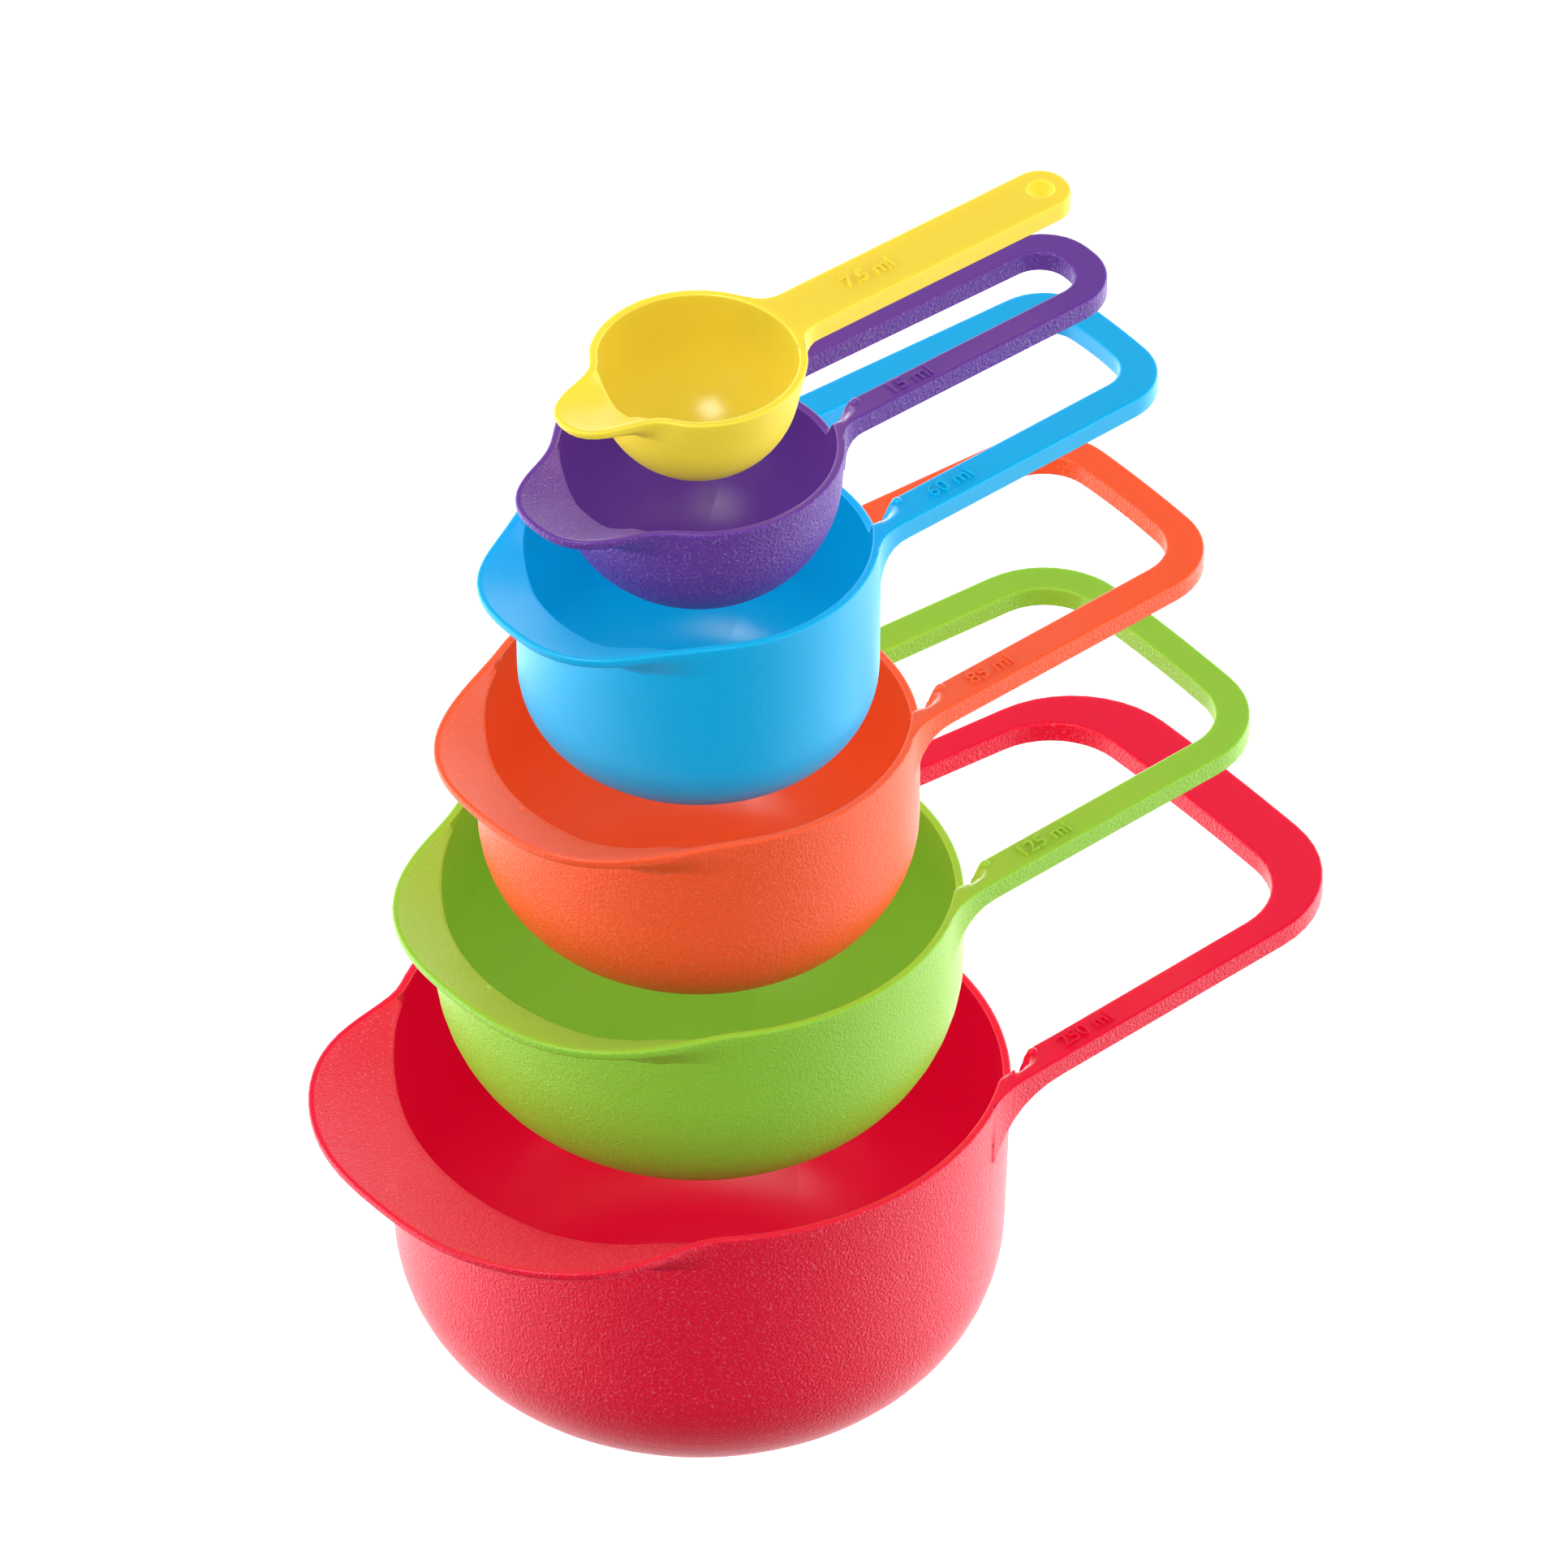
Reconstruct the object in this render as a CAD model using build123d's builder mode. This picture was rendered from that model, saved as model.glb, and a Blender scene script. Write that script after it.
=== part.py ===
from build123d import *
from dataclasses import dataclass
from math import cos, radians, sin
import os

os.makedirs("parts", exist_ok=True)

# Nesting measuring cup set: six one-piece moulded cups on one shared upright axis.
# Origin: centre of the foot of the largest cup. +X runs along the handles, +Z is up.
# Each cup is drawn with its rim at z = 0 and then raised to its rim height.

# Sizes shared by every cup (mm)
WALL = 1.3               # bowl wall and floor
HANDLE_THICKNESS = 3.4   # flat handle loops
LIP_THICKNESS = 1.3      # pouring lip, measured upright at its edge
LIP_MARGIN = 0.8         # flat land left round the edge of the lip
CAVITY_OVERSHOOT = 1.0   # height the bowl cutter rises above the rim
END_BOW = 0.9            # outward bow of the far end of a handle

# Click-together details
NUB_RADIUS = 0.9         # small ball on the inside of each handle arm
NUB_HEIGHT = 0.45        # how far it stands out
DIMPLE_RADIUS = 1.2      # hollow in the outside of the next smaller handle
DIMPLE_DEPTH = 0.55
PIP_RADIUS = 1.0         # ball on the slope of the pouring lip
PIP_HEIGHT = 0.3

# Shape of the lip outline as fractions of its reach and half width
SHOULDER = (0.675, 1.0)
CORNER = (0.9, 0.69)
NEAR_TIP = (0.985, 0.34)


@dataclass
class Cup:
    """One cup of the set, all lengths in mm."""

    name: str
    radius: float         # outside of the bowl at the rim
    depth: float          # rim to underside of the foot
    floor_round: float    # outside radius between wall and floor
    draft: float          # inward slope of the wall, mm per mm
    lip_reach: float      # bowl axis to the front of the lip
    lip_half_width: float
    lip_spread: float     # half angle of rim taken up by the lip
    lip_slope: float      # drop from the lip edge to the bowl wall
    root_half: float      # half width over the handle where it leaves the bowl
    end_half: float       # half width over the handle at its far end
    end: float            # bowl axis to the far end of the handle
    end_round: float      # corner radius at the far end
    root_round: float     # blend between bowl and handle arm
    under_round: float    # blend between bowl wall and the underside of the handle
    lift: float           # height of this rim above the rim of the next larger cup
    arm: float = 0.0      # width of each handle arm, 0 for a solid bar
    end_bar: float = 0.0  # width of the bar across the far end
    hole_round: float = 0.0
    notch: float = 0.0    # how far the rim is lowered between the arms
    nub_x: float = 0.0    # bowl axis to the nubs, 0 for none
    dimple_x: float = 0.0
    pip_x: float = 0.0    # bowl axis to the pip on the lip, 0 for none
    lip_dimple_x: float = 0.0
    hang_hole: float = 0.0  # radius of the hanging hole, 0 for none


CUPS = [
    Cup("cup_250ml", radius=46.0, depth=54.4, floor_round=23.5, draft=0.035,
        lip_reach=60.0, lip_half_width=34.4, lip_spread=56, lip_slope=4.3,
        root_half=35.6, end_half=31.8, end=100.5, end_round=18.0, root_round=20.0,
        under_round=7.0, arm=5.0, end_bar=9.0, hole_round=12.0, notch=6.5,
        nub_x=35.5, lift=0.0),
    Cup("cup_125ml", radius=38.8, depth=40.0, floor_round=25.0, draft=0.002,
        lip_reach=45.9, lip_half_width=28.6, lip_spread=61, lip_slope=3.5,
        root_half=28.9, end_half=26.2, end=89.3, end_round=14.0, root_round=16.0,
        under_round=4.8, arm=5.2, end_bar=5.0, hole_round=9.0, notch=3.9,
        nub_x=33.6, dimple_x=35.5, pip_x=38.5, lift=32.4),
    Cup("cup_85ml", radius=32.3, depth=37.4, floor_round=18.4, draft=0.002,
        lip_reach=40.4, lip_half_width=23.3, lip_spread=64, lip_slope=3.8,
        root_half=22.8, end_half=20.6, end=83.8, end_round=11.5, root_round=12.0,
        under_round=4.6, arm=5.4, end_bar=4.9, hole_round=7.5, notch=3.9,
        nub_x=31.2, dimple_x=33.6, pip_x=32.6, lip_dimple_x=38.5, lift=30.6),
    Cup("cup_60ml", radius=26.6, depth=35.7, floor_round=12.6, draft=0.01,
        lip_reach=34.9, lip_half_width=17.5, lip_spread=62, lip_slope=3.8,
        root_half=16.5, end_half=14.8, end=78.4, end_round=9.0, root_round=8.5,
        under_round=3.8, arm=5.6, end_bar=4.8, hole_round=5.0, notch=3.9,
        nub_x=28.0, dimple_x=31.2, pip_x=27.6, lip_dimple_x=32.6, lift=32.0),
    Cup("cup_15ml", radius=21.4, depth=23.5, floor_round=18.4, draft=0.067,
        lip_reach=30.4, lip_half_width=11.4, lip_spread=57, lip_slope=3.6,
        root_half=9.8, end_half=9.1, end=73.1, end_round=8.4, root_round=4.8,
        under_round=3.4, arm=4.2, end_bar=4.8, hole_round=4.6, notch=4.0,
        nub_x=24.6, dimple_x=28.0, lip_dimple_x=27.6, lift=16.9),
    Cup("cup_7_5ml", radius=16.0, depth=18.2, floor_round=13.9, draft=0.2,
        lip_reach=25.0, lip_half_width=6.8, lip_spread=48, lip_slope=3.0,
        root_half=4.5, end_half=4.5, end=67.8, end_round=4.2, root_round=4.6,
        under_round=3.0, hang_hole=1.9, lift=15.9),
]
HANG_HOLE_INSET = 4.3    # hanging hole centre to the tip of the bar


def bowl_section(cup, skin, top):
    """Half section of the bowl, moved inward from the outside by `skin`."""
    wall_top = cup.radius - skin + cup.draft * top
    wall_foot = cup.radius - skin - cup.draft * cup.depth
    floor = skin - cup.depth
    with BuildSketch(mode=Mode.PRIVATE) as section:
        with BuildLine():
            Polyline((0, top), (wall_top, top), (wall_foot, floor), (0, floor), close=True)
        make_face()
        corner = section.vertices().sort_by_distance(Vector(wall_foot, floor))[0]
        fillet(corner, radius=cup.floor_round - skin)
    return section.sketch


def lip_outline(cup, wall, margin):
    """Plan of the lip, closed by a straight chord across the bowl."""
    radius, reach = cup.radius - wall, cup.lip_reach - margin
    half_width, angle = cup.lip_half_width - margin, radians(cup.lip_spread)
    side = [(-radius * cos(angle), radius * sin(angle))]
    side += [(-along * reach, across * half_width) for along, across in (SHOULDER, CORNER, NEAR_TIP)]
    far_side = [(x, -y) for x, y in reversed(side)]
    with BuildSketch(mode=Mode.PRIVATE) as outline:
        with BuildLine():
            edge = Spline(*side, (-reach, 0), *far_side,
                          tangents=[(-sin(angle), -cos(angle)), (sin(angle), -cos(angle))])
            Line(edge @ 1, edge @ 0)
        make_face()
    return outline.sketch


def wall_outline(cup, radius):
    """Plan of the bowl wall below the lip, closed by the same kind of chord."""
    angle = radians(cup.lip_spread)
    with BuildSketch(mode=Mode.PRIVATE) as outline:
        with BuildLine():
            edge = ThreePointArc((-radius * cos(angle), radius * sin(angle)), (-radius, 0),
                                 (-radius * cos(angle), -radius * sin(angle)))
            Line(edge @ 1, edge @ 0)
        make_face()
    return outline.sketch


def half_width_at(cup, x):
    """Half width over the handle at a distance x from the bowl axis."""
    slope = (cup.root_half - cup.end_half) / (cup.end - cup.radius)
    return cup.root_half - slope * (x - cup.radius)


def loop_outline(cup, inset, end_bar, corner_round):
    """Plan of the tapering handle, from the bowl axis to its bowed, rounded end."""
    end = cup.end - end_bar
    end_half = half_width_at(cup, end) - inset
    start_half = half_width_at(cup, 0) - inset
    with BuildSketch(mode=Mode.PRIVATE) as outline:
        with BuildLine():
            Line((0, -start_half), (end - END_BOW, -end_half))
            ThreePointArc((end - END_BOW, -end_half), (end, 0), (end - END_BOW, end_half))
            Polyline((end - END_BOW, end_half), (0, start_half), (0, -start_half))
        make_face()
        fillet(outline.vertices().group_by(Axis.X)[-1], radius=corner_round)
    return outline.sketch


def plate_outline(cup):
    """Plan of the bowl and the filled-in handle, with the blends at the root."""
    with BuildSketch(mode=Mode.PRIVATE) as outline:
        Circle(cup.radius)
        add(loop_outline(cup, 0, 0, cup.end_round))
        roots = outline.vertices().filter_by_position(Axis.X, cup.radius / 4, cup.radius)
        fillet(roots, radius=cup.root_round)
    return outline.sketch


def root_web(cup):
    """Hollow-curved web that carries the underside of each arm into the bowl wall."""
    under, foot = -HANDLE_THICKNESS, -HANDLE_THICKNESS - cup.under_round
    inside = cup.radius - WALL / 2 + cup.draft * foot
    wall_foot = (cup.radius + cup.draft * foot, foot)
    wall_top = (cup.radius + cup.draft * under, under)
    outer = (cup.radius + cup.under_round, under)
    with BuildPart(mode=Mode.PRIVATE) as web:
        with BuildSketch(Plane.XZ):
            with BuildLine():
                Bezier(wall_foot, wall_top, outer)
                Polyline(outer, (inside, under), (inside, foot), wall_foot)
            make_face()
        revolve(axis=Axis.Z)
        with BuildSketch():
            add(plate_outline(cup))
            if cup.arm:
                add(loop_outline(cup, cup.arm, cup.end_bar, cup.hole_round), mode=Mode.SUBTRACT)
            Rectangle(cup.radius, 2 * cup.radius, align=(Align.MAX, Align.CENTER), mode=Mode.SUBTRACT)
        extrude(amount=foot, mode=Mode.INTERSECT)
    return web.part


def build_cup(cup, rim_height):
    """Model one cup and write it to its own STEP file."""
    with BuildPart() as body:
        # Solid bowl
        with BuildSketch(Plane.XZ):
            add(bowl_section(cup, 0, 0))
        revolve(axis=Axis.Z)

        # Pouring lip: an upright edge band, then a slope down to the wall
        with BuildSketch():
            add(lip_outline(cup, 0, 0))
        extrude(amount=-LIP_THICKNESS)
        with BuildSketch(Plane.XY.offset(-LIP_THICKNESS)):
            add(lip_outline(cup, 0, 0))
        with BuildSketch(Plane.XY.offset(-LIP_THICKNESS - cup.lip_slope)):
            add(wall_outline(cup, cup.radius - WALL / 3))
        loft(ruled=True)

        # Flat handle, blended into the bowl at its root
        with BuildSketch():
            add(plate_outline(cup))
        extrude(amount=-HANDLE_THICKNESS)
        add(root_web(cup))

        # Inside of the bowl and of the lip
        with BuildSketch(Plane.XZ):
            add(bowl_section(cup, WALL, CAVITY_OVERSHOOT))
        revolve(axis=Axis.Z, mode=Mode.SUBTRACT)
        with BuildSketch():
            add(lip_outline(cup, WALL, LIP_MARGIN))
        with BuildSketch(Plane.XY.offset(-cup.lip_slope)):
            add(wall_outline(cup, cup.radius - WALL - cup.draft * cup.lip_slope))
        loft(ruled=True, mode=Mode.SUBTRACT)

        # Finger loop, which also lowers the rim between the two arms
        if cup.arm:
            with BuildSketch():
                add(loop_outline(cup, cup.arm, cup.end_bar, cup.hole_round))
            extrude(amount=-cup.notch, mode=Mode.SUBTRACT)

        # Hanging hole
        if cup.hang_hole:
            with Locations((cup.end - HANG_HOLE_INSET, 0)):
                Hole(cup.hang_hole)

        # Nubs inside the arms and hollows outside them
        middle = -HANDLE_THICKNESS / 2
        if cup.nub_x:
            inner_face = half_width_at(cup, cup.nub_x) - cup.arm
            offset_y = inner_face + NUB_RADIUS - NUB_HEIGHT
            with Locations((cup.nub_x, offset_y, middle), (cup.nub_x, -offset_y, middle)):
                Sphere(NUB_RADIUS)
        if cup.dimple_x:
            offset_y = half_width_at(cup, cup.dimple_x) + DIMPLE_RADIUS - DIMPLE_DEPTH
            with Locations((cup.dimple_x, offset_y, middle), (cup.dimple_x, -offset_y, middle)):
                Sphere(DIMPLE_RADIUS, mode=Mode.SUBTRACT)

        # Pip on the lip slope and hollow under it for the pip of the next larger cup
        slope_start = cup.radius - WALL
        slope_run = cup.lip_reach - LIP_MARGIN - slope_start
        if cup.pip_x:
            top_z = -cup.lip_slope * (1 - (cup.pip_x - slope_start) / slope_run)
            with Locations((-cup.pip_x, 0, top_z + PIP_HEIGHT - PIP_RADIUS)):
                Sphere(PIP_RADIUS)
        if cup.lip_dimple_x:
            under_run = cup.lip_reach - cup.radius
            under_z = -LIP_THICKNESS - cup.lip_slope * (cup.lip_reach - cup.lip_dimple_x) / under_run
            with Locations((-cup.lip_dimple_x, 0, under_z - DIMPLE_RADIUS + DIMPLE_DEPTH)):
                Sphere(DIMPLE_RADIUS, mode=Mode.SUBTRACT)

    body.part = Pos(0, 0, rim_height) * body.part
    body.part.label = cup.name
    export_step(body.part, f"parts/{cup.name}.step")
    print(cup.name, len(body.part.solids()), round(body.part.volume), body.part.is_valid)
    return body.part


rim_height = CUPS[0].depth
for cup in CUPS:
    rim_height += cup.lift
    build_cup(cup, rim_height)
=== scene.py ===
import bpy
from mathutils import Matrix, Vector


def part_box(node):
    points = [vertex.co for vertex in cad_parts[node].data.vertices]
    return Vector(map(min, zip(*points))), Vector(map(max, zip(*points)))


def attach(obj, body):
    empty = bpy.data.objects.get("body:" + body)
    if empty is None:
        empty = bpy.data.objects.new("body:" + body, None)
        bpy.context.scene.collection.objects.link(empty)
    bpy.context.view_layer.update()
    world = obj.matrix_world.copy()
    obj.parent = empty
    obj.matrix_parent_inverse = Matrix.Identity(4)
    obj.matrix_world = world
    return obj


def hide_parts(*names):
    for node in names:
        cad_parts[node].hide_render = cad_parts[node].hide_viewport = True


bl_info = {
    "name": "Nesting measuring cups",
    "version": (1, 0, 0),
    "blender": (4, 5, 0),
    "location": "View3D > Sidebar > Measuring cups",
    "description": "Moulds a set of nesting measuring cups with capacity marks on their handles",
    "category": "Object",
}

from math import asin, atan, atan2, cos, hypot, pi, radians, sin, sqrt
from types import SimpleNamespace

import bmesh
import bpy
import numpy as np
from mathutils import Vector

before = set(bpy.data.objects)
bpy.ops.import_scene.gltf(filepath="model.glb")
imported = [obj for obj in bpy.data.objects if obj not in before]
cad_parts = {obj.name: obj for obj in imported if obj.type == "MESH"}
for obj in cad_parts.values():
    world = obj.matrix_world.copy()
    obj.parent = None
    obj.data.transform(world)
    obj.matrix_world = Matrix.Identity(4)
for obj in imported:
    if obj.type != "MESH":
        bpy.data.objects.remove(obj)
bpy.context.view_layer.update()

MM = 0.001

# Shape of each cup in millimetres. Its depth, radius, lip reach and handle end come from
# the frame box of its node. Draft is a slope, lip_spread is in degrees and pip_share is the
# pip's place as a share of the lip's run.
CUP_SHAPES = {
    "cup_250ml": dict(
        mark="250 ml", slot="red_plastic", floor_round=23.5, draft=0.035, lip_half_width=34.4,
        lip_spread=56, lip_slope=4.3, root_half=35.6, end_half=31.8, end_round=18.0, root_round=20.0,
        under_round=7.0, arm=5.0, end_bar=9.0, hole_round=12.0, notch=6.5, mark_x=41.0),
    "cup_125ml": dict(
        mark="125 ml", slot="green_plastic", floor_round=25.0, draft=0.002, lip_half_width=28.6,
        lip_spread=61, lip_slope=3.5, root_half=28.9, end_half=26.2, end_round=14.0, root_round=16.0,
        under_round=4.8, arm=5.2, end_bar=5.0, hole_round=9.0, notch=3.9, pip_share=0.2, mark_x=38.6),
    "cup_85ml": dict(
        mark="85 ml", slot="orange_plastic", floor_round=18.4, draft=0.002, lip_half_width=23.3,
        lip_spread=64, lip_slope=3.8, root_half=22.8, end_half=20.6, end_round=11.5, root_round=12.0,
        under_round=4.6, arm=5.4, end_bar=4.9, hole_round=7.5, notch=3.9, pip_share=0.2, mark_x=34.4),
    "cup_60ml": dict(
        mark="60 ml", slot="blue_plastic", floor_round=12.6, draft=0.01, lip_half_width=17.5,
        lip_spread=62, lip_slope=3.8, root_half=16.5, end_half=14.8, end_round=9.0, root_round=8.5,
        under_round=3.8, arm=5.6, end_bar=4.8, hole_round=5.0, notch=3.9, mark_x=32.0),
    "cup_15ml": dict(
        mark="15 ml", slot="purple_plastic", floor_round=18.4, draft=0.067, lip_half_width=11.4,
        lip_spread=57, lip_slope=3.6, root_half=9.8, end_half=9.1, end_round=8.4, root_round=4.8,
        under_round=3.4, arm=4.2, end_bar=4.8, hole_round=4.6, notch=4.0, mark_x=29.0),
    "cup_7_5ml": dict(
        mark="7.5 ml", slot="yellow_plastic", floor_round=13.9, draft=0.2, lip_half_width=6.8,
        lip_spread=48, lip_slope=3.0, root_half=4.5, end_half=4.5, end_round=4.2, root_round=4.6,
        under_round=3.0, hang_hole=1.9, mark_x=27.0),
}
HANDLE_THICKNESS = 3.4
END_BOW = 0.9            # how far the middle of a looped handle's end stands out
HANG_HOLE_INSET = 4.3    # from the bar's end to the centre of its hole
LOOP_LEAD = 2.0          # straight part of an arm before its sections are evenly spaced
BAR_LEAD = 1.0           # the same for the bar
BAR_COLLAR = 1.3         # where the faces round the hole begin, in half widths before it
BAR_EDGE = 0.45          # where the edge's first point lies, in half widths before the hole

# Outline of the lip as fractions of its reach and half width, from the side to the tip
LIP_OUTLINE = ((0.675, 1.0), (0.9, 0.69), (0.985, 0.34))
LIP_BAND = 1.3           # height of the upright edge round the lip
LIP_MARGIN = 0.8         # thickness of the lip's edge in plan
LIP_TOE_INSIDE = 0.3     # share of the lip's slope that fades into the wall
LIP_TOE_OUTSIDE = 0.12
LIP_ROWS = 4             # rows of the band that follow the lip's slope
LIP_FOOT = 0.3           # how far the band reaches below the lip's slope
LEAST_SLOPE = 1.5        # drop of the lip's slope where the lip runs out into the rim
LEAST_OVERHANG = 0.03    # share of the lip's reach past which its slope is frosted
BAND_CLEARANCE = 0.5     # distance between the band and the bowl's plain wall below it
NOTCH_RAMP = 3.4         # length over which the lowered back rim climbs to the handle

# How deep the balls sit in the plastic, in ball radii
NUB_SIDE_DEPTH = 0.9
NUB_TOP_DEPTH = 0.65
PIP_DEPTH = 0.8
MARK_DEPTH = 0.1 * MM    # how deep the letters are rooted in the handle

# Fineness of the meshes
NOTCH_COLUMNS = 28
ARM_COLUMNS = 9
RIM_COLUMNS = 108
BAND_ROWS = 7
WALL_ROWS = 8
CORNER_ROWS = 14
FLOOR_ROWS = 3
ROOT_SECTIONS = 10
BLEND_POINTS = 13
STRAIGHT_SECTIONS = 7
CORNER_SECTIONS = 10
BOW_SECTIONS = 5
COLUMN_CROWDING = 1.3    # columns and sections crowd towards the start of the handle
SECTION_CROWDING = 1.7

INSIDE, TOP, OUTSIDE = 0.0, 0.5, 1.0   # values of the "finish" attribute on faces


def smoothstep(x):
    """Eased step from 0 to 1 as x goes from 0 to 1."""
    x = np.clip(x, 0.0, 1.0)
    return x * x * (3.0 - 2.0 * x)


def faded(x, toe):
    """Straight ramp from 0 to 1 whose first part, up to toe, starts level."""
    ramp = np.where(x < toe, x * x / (2 * toe), x - toe / 2)
    return ramp / (1 - toe / 2)


def cup_form(context, node):
    """All the sizes of one cup in millimetres, from its properties and its frame box."""
    mould = context.scene.cup_mould
    low, high = (np.array(corner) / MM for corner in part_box(node))
    form = SimpleNamespace(rim=high[2], depth=high[2] - low[2], radius=(high[1] - low[1]) / 2,
                           lip_reach=-low[0], end=high[0], arm=0.0, notch=0.0, pip_share=0.0)
    form.__dict__.update(CUP_SHAPES[node])
    form.wall = mould.wall / MM
    form.taper = (form.root_half - form.end_half) / (form.end - form.radius)
    return form


# ---------------------------------------------------------------- bowl

def floor_corner(form, skin):
    """Radius, centre and upper end of the round between wall and floor, `skin` inside the outside."""
    corner, depth = form.floor_round - skin, form.depth - skin
    lean = atan(form.draft)
    centre_z = -(depth - corner)
    centre_r = form.radius - skin - form.draft * (depth - corner) - corner / cos(lean)
    return corner, centre_r, centre_z, centre_z - corner * sin(lean)


def skin_radius(form, z, skin):
    """Radius of the bowl's surface at height z from the rim, `skin` inside the outer surface."""
    corner, centre_r, centre_z, tangent_z = floor_corner(form, skin)
    wall = form.radius - skin + form.draft * z
    arc = centre_r + np.sqrt(np.maximum(corner ** 2 - (z - centre_z) ** 2, 0.0))
    return np.where(z > tangent_z, wall, arc)


def bowl_rows(form, skin, top_z):
    """Radius and height pairs from top_z down the wall and round the corner to the floor."""
    corner, centre_r, centre_z, tangent_z = floor_corner(form, skin)
    rows = []
    start = atan(form.draft)
    if top_z > tangent_z:
        heights = np.linspace(top_z, tangent_z, WALL_ROWS + 1)
        rows += [(float(skin_radius(form, z, skin)), z) for z in heights]
    else:
        start = asin((centre_z - top_z) / corner)
        rows.append((float(skin_radius(form, top_z, skin)), top_z))
    for angle in np.linspace(start, pi / 2, CORNER_ROWS + 1)[1:]:
        rows.append((centre_r + corner * cos(angle), centre_z - corner * sin(angle)))
    for share in np.linspace(1, 0, FLOOR_ROWS + 2)[1:-1]:
        rows.append((centre_r * share, -(form.depth - skin)))
    return rows


def lip_curve(form, skin, margin):
    """Radius of the rim outline as a function of the angle from the lip's centre line."""
    radius, reach = form.radius - skin, form.lip_reach - margin
    half_width = form.lip_half_width - margin
    points = [(0.0, reach)]
    for along, across in reversed(LIP_OUTLINE):
        x, y = along * reach, across * half_width
        points.append((atan2(y, x), hypot(x, y)))
    points.append((radians(form.lip_spread), radius))
    angles, radii = np.array(points).T
    slopes = level_ended_slopes(angles, radii)

    def radius_at(angle):
        angle = np.abs(angle)
        inside = np.clip(angle, angles[0], angles[-1])
        i = np.clip(np.searchsorted(angles, inside, side="right") - 1, 0, len(angles) - 2)
        step = angles[i + 1] - angles[i]
        t = (inside - angles[i]) / step
        value = ((1 + 2 * t) * (1 - t) ** 2 * radii[i] + t * (1 - t) ** 2 * step * slopes[i]
                 + t * t * (3 - 2 * t) * radii[i + 1] + t * t * (t - 1) * step * slopes[i + 1])
        return np.where(angle >= angles[-1], radius, value)

    return radius_at


def level_ended_slopes(x, y):
    """Slopes of the cubic spline through the points that is level at both ends."""
    count = len(x)
    matrix, target = np.zeros((count, count)), np.zeros(count)
    matrix[0, 0] = matrix[-1, -1] = 1.0
    for i in range(1, count - 1):
        before, after = x[i] - x[i - 1], x[i + 1] - x[i]
        matrix[i, i - 1], matrix[i, i], matrix[i, i + 1] = 1 / before, 2 / before + 2 / after, 1 / after
        target[i] = 3 * ((y[i] - y[i - 1]) / before ** 2 + (y[i + 1] - y[i]) / after ** 2)
    return np.linalg.solve(matrix, target)


# ---------------------------------------------------------------- handle outlines

def half_width_at(form, x):
    """Half width over the handle at distance x from the bowl's axis."""
    return form.root_half - form.taper * (x - form.radius)


def side_line(form):
    """Directions across and along the handle's side line, and its distance from the bowl's axis."""
    lean = hypot(1.0, form.taper)
    across = np.array([form.taper, 1.0]) / lean
    along = np.array([1.0, -form.taper]) / lean
    return across, along, half_width_at(form, 0.0) / lean


def side_crossing(form, inset, radius):
    """Point where the handle's side line, moved inwards by inset, crosses a circle."""
    across, along, distance = side_line(form)
    distance -= inset / hypot(1.0, form.taper)
    return across * distance + along * sqrt(radius ** 2 - distance ** 2)


def root_blend(form):
    """Arc that leads the bowl's outline into the handle's outer side."""
    across, along, distance = side_line(form)
    distance += form.root_round
    reach = form.radius + form.root_round
    centre = across * distance + along * sqrt(reach ** 2 - distance ** 2)
    start = atan2(-centre[1], -centre[0])
    end = atan2(-across[1], -across[0])
    angles = np.linspace(start, end, BLEND_POINTS)
    return centre + form.root_round * np.stack([np.cos(angles), np.sin(angles)], axis=1)


def end_curve(form, inset, end, corner):
    """Points round the corner of the handle and along its bowed end to the middle."""
    half = half_width_at(form, end) - inset
    lean = atan(form.taper)
    corner_y = half - corner
    for _ in range(4):    # the corner's centre settles in a few rounds
        centre_x = end - END_BOW * (corner_y / half) ** 2 - corner
        corner_y = half_width_at(form, centre_x) - inset - corner / cos(lean)
    bow_radius = (half ** 2 + END_BOW ** 2) / (2 * END_BOW)
    last = asin(corner_y / bow_radius)
    angles = np.linspace(pi / 2 - lean, last, CORNER_SECTIONS + 1)
    points = [(centre_x + corner * cos(a), corner_y + corner * sin(a)) for a in angles]
    start_x, start_y = points[-1]
    gap = start_x - (end - END_BOW * (start_y / half) ** 2)
    for share in np.linspace(1, 0, BOW_SECTIONS + 1)[1:]:
        y = start_y * share
        points.append((end - END_BOW * (y / half) ** 2 + gap * share ** 2, y))
    return np.array(points)


def resample(points, shares):
    """Points at the given shares of the length of a polyline."""
    points = np.asarray(points, dtype=float)
    steps = np.hypot(*np.diff(points, axis=0).T)
    length = np.concatenate([[0.0], np.cumsum(steps)])
    at = np.asarray(shares) * length[-1]
    return np.stack([np.interp(at, length, points[:, 0]), np.interp(at, length, points[:, 1])], axis=1)


# ---------------------------------------------------------------- mesh assembly

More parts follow.
